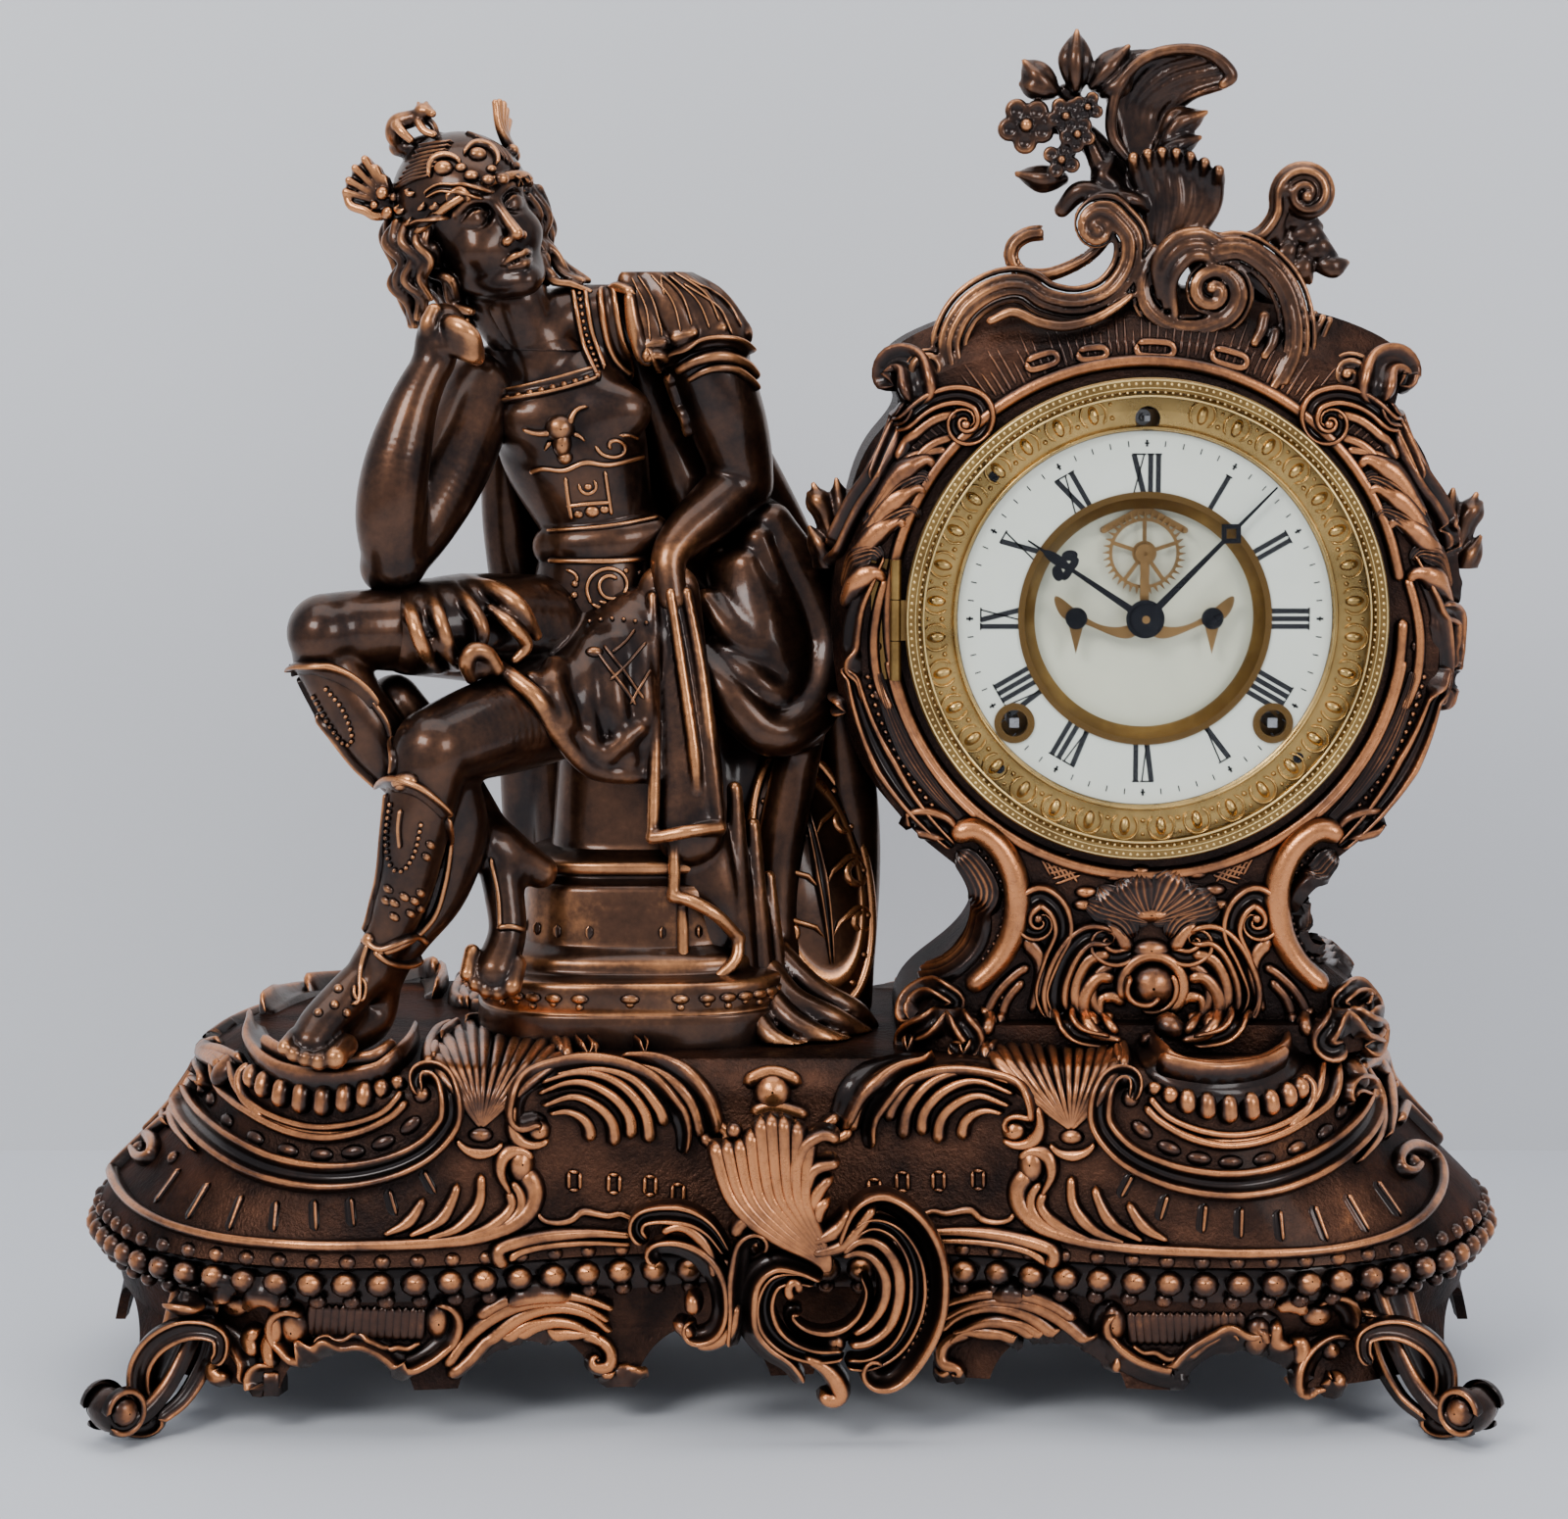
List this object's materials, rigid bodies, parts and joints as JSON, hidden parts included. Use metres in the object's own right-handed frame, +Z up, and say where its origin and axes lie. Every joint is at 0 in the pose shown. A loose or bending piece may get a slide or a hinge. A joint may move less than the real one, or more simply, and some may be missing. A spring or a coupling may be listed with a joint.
{
  "type": "figural mantel clock",
  "caption": "Figural mantel clock: seated classical warrior beside a waisted rococo drum case with visible escapement, hinged bezel, movement, pendulum, and a scrolled footed base.",
  "frame": {"origin": "centre of the bounding box's bottom, on the surface that the feet stand on", "axes": "+X to the viewer's right along the base, +Y to the back, +Z up"},
  "size_m": [0.556, 0.236, 0.5213],
  "materials": {
    "patinated_casting": "dark bronzed casting with copper rubbed through on the raised edges",
    "polished_brass": "lacquered brass, aged",
    "movement_brass": "satin brass",
    "steel": "plain steel",
    "blued_steel": "black",
    "porcelain": "glazed enamel with black figures",
    "cream_enamel": "cream enamel",
    "zinc_sheet": "dull sheet",
    "crystal": "clear bevelled glass"
  },
  "bodies": {
    "root": {"apron_casting": "patinated_casting", "arm_left": "patinated_casting", "arm_right": "patinated_casting", "back_plate": "movement_brass", "base_cartouche": "patinated_casting", "base_casting": "patinated_casting", "bead_moulding": "patinated_casting", "case_crest": "patinated_casting", "case_side_leaves": "patinated_casting", "casting_bolts": "steel", "centre_disc": "cream_enamel", "chapter_ring": "porcelain", "clock_case": "patinated_casting", "dial_pan": "zinc_sheet", "dial_screws": "blued_steel", "dial_surround": "polished_brass", "escapement_bridge": "movement_brass", "feet_back": "patinated_casting", "feet_front": "patinated_casting", "figure_cloak": "patinated_casting", "figure_head": "patinated_casting", "figure_plinth": "patinated_casting", "figure_shield": "patinated_casting", "figure_skirt": "patinated_casting", "figure_torso": "patinated_casting", "front_plate": "movement_brass", "gong": "steel", "helmet": "patinated_casting", "hinge_fittings": "polished_brass", "inner_ring": "polished_brass", "leg_left": "patinated_casting", "leg_right": "patinated_casting", "mainsprings": "steel", "plate_pillars": "steel", "suspension_post": "steel", "winding_grommets": "polished_brass"},
    "bezel": {"bezel_ring": "polished_brass", "bezel_glass": "crystal"},
    "rear_door": {"rear_door": "polished_brass"},
    "minute_hand_group": {"minute_hand": "blued_steel", "cannon_pinion": "steel"},
    "hour_hand_group": {"hour_hand": "blued_steel", "hour_wheel": "movement_brass"},
    "minute_wheel": {"minute_wheel": "movement_brass"},
    "escape_wheel": {"escape_wheel": "movement_brass"},
    "fourth_wheel": {"fourth_wheel": "movement_brass"},
    "centre_wheel": {"centre_wheel": "movement_brass"},
    "time_second_wheel": {"time_second_wheel": "movement_brass"},
    "time_great_wheel": {"time_great_wheel": "movement_brass"},
    "time_winding_arbor": {"time_winding_arbor": "steel"},
    "strike_winding_arbor": {"strike_winding_arbor": "steel"},
    "fly": {"fly": "movement_brass"},
    "strike_third_wheel": {"strike_third_wheel": "movement_brass"},
    "strike_second_wheel": {"strike_second_wheel": "movement_brass"},
    "strike_great_wheel": {"strike_great_wheel": "movement_brass"},
    "pendulum": {"pendulum_rod": "steel", "pendulum_bob": "movement_brass"},
    "anchor": {"anchor": "movement_brass"},
    "hammer": {"hammer": "steel"},
    "regulator": {"regulator_arbor": "steel"}
  },
  "joints": [
    {"name": "bezel_hinge", "type": "hinge", "parent": "root", "child": "bezel", "pos_m": [0.0386, -0.0549, 0.3013], "axis": [0, 0, -1], "range_deg": [0, 100]},
    {"name": "rear_door_hinge", "type": "hinge", "parent": "root", "child": "rear_door", "pos_m": [0.0545, 0.0475, 0.3013], "axis": [0, 0, 1], "range_deg": [0, 110]},
    {"name": "minute_turn", "type": "hinge", "parent": "root", "child": "minute_hand_group", "pos_m": [0.132, 0, 0.3013], "axis": [0, 1, 0], "continuous": true},
    {"name": "hour_turn", "type": "hinge", "parent": "root", "child": "hour_hand_group", "pos_m": [0.132, 0, 0.3013], "axis": [0, 1, 0], "continuous": true},
    {"name": "minute_wheel_turn", "type": "hinge", "parent": "root", "child": "minute_wheel", "pos_m": [0.12344, 0, 0.29274], "axis": [0, 1, 0], "continuous": true},
    {"name": "escape_turn", "type": "hinge", "parent": "root", "child": "escape_wheel", "pos_m": [0.132, 0, 0.3255], "axis": [0, 1, 0], "continuous": true},
    {"name": "fourth_turn", "type": "hinge", "parent": "root", "child": "fourth_wheel", "pos_m": [0.11614, 0, 0.31775], "axis": [0, 1, 0], "continuous": true},
    {"name": "centre_turn", "type": "hinge", "parent": "root", "child": "centre_wheel", "pos_m": [0.132, 0, 0.3013], "axis": [0, 1, 0], "continuous": true},
    {"name": "time_second_turn", "type": "hinge", "parent": "root", "child": "time_second_wheel", "pos_m": [0.16389, 0, 0.2904], "axis": [0, 1, 0], "continuous": true},
    {"name": "time_great_turn", "type": "hinge", "parent": "root", "child": "time_great_wheel", "pos_m": [0.1805, 0, 0.262], "axis": [0, 1, 0], "continuous": true},
    {"name": "time_winding", "type": "hinge", "parent": "root", "child": "time_winding_arbor", "pos_m": [0.1805, 0, 0.262], "axis": [0, 1, 0], "continuous": true},
    {"name": "strike_winding", "type": "hinge", "parent": "root", "child": "strike_winding_arbor", "pos_m": [0.0835, 0, 0.262], "axis": [0, 1, 0], "continuous": true},
    {"name": "fly_turn", "type": "hinge", "parent": "root", "child": "fly", "pos_m": [0.08806, 0, 0.33393], "axis": [0, 1, 0], "continuous": true},
    {"name": "strike_third_turn", "type": "hinge", "parent": "root", "child": "strike_third_wheel", "pos_m": [0.08596, 0, 0.31686], "axis": [0, 1, 0], "continuous": true},
    {"name": "strike_second_turn", "type": "hinge", "parent": "root", "child": "strike_second_wheel", "pos_m": [0.07779, 0, 0.2944], "axis": [0, 1, 0], "continuous": true},
    {"name": "strike_great_turn", "type": "hinge", "parent": "root", "child": "strike_great_wheel", "pos_m": [0.0835, 0, 0.262], "axis": [0, 1, 0], "continuous": true},
    {"name": "pendulum_swing", "type": "hinge", "parent": "root", "child": "pendulum", "pos_m": [0.132, 0, 0.3423], "axis": [0, 1, 0], "range_deg": [-2.5, 2.5]},
    {"name": "anchor_rock", "type": "hinge", "parent": "root", "child": "anchor", "pos_m": [0.132, 0, 0.3423], "axis": [0, 1, 0], "range_deg": [-2.5, 2.5]},
    {"name": "hammer_lift", "type": "hinge", "parent": "root", "child": "hammer", "pos_m": [0.076, 0, 0.3393], "axis": [0, 1, 0], "range_deg": [0, 8]},
    {"name": "regulator_turn", "type": "hinge", "parent": "root", "child": "regulator", "pos_m": [0.132, 0, 0.3759], "axis": [0, 1, 0], "range_deg": [-360, 360]}
  ],
  "couplings": [
    {"joint": "hour_turn", "follows": "minute_turn", "ratio": 0.083333},
    {"joint": "minute_wheel_turn", "follows": "minute_turn", "ratio": -0.33333},
    {"joint": "fourth_turn", "follows": "escape_turn", "ratio": -0.083333},
    {"joint": "centre_turn", "follows": "escape_turn", "ratio": 0.0069444},
    {"joint": "time_second_turn", "follows": "escape_turn", "ratio": -0.0011574},
    {"joint": "time_great_turn", "follows": "escape_turn", "ratio": 0.00016075},
    {"joint": "strike_third_turn", "follows": "fly_turn", "ratio": -0.14},
    {"joint": "strike_second_turn", "follows": "fly_turn", "ratio": 0.018667},
    {"joint": "strike_great_turn", "follows": "fly_turn", "ratio": -0.0025926},
    {"joint": "anchor_rock", "follows": "pendulum_swing", "ratio": 1}
  ]
}
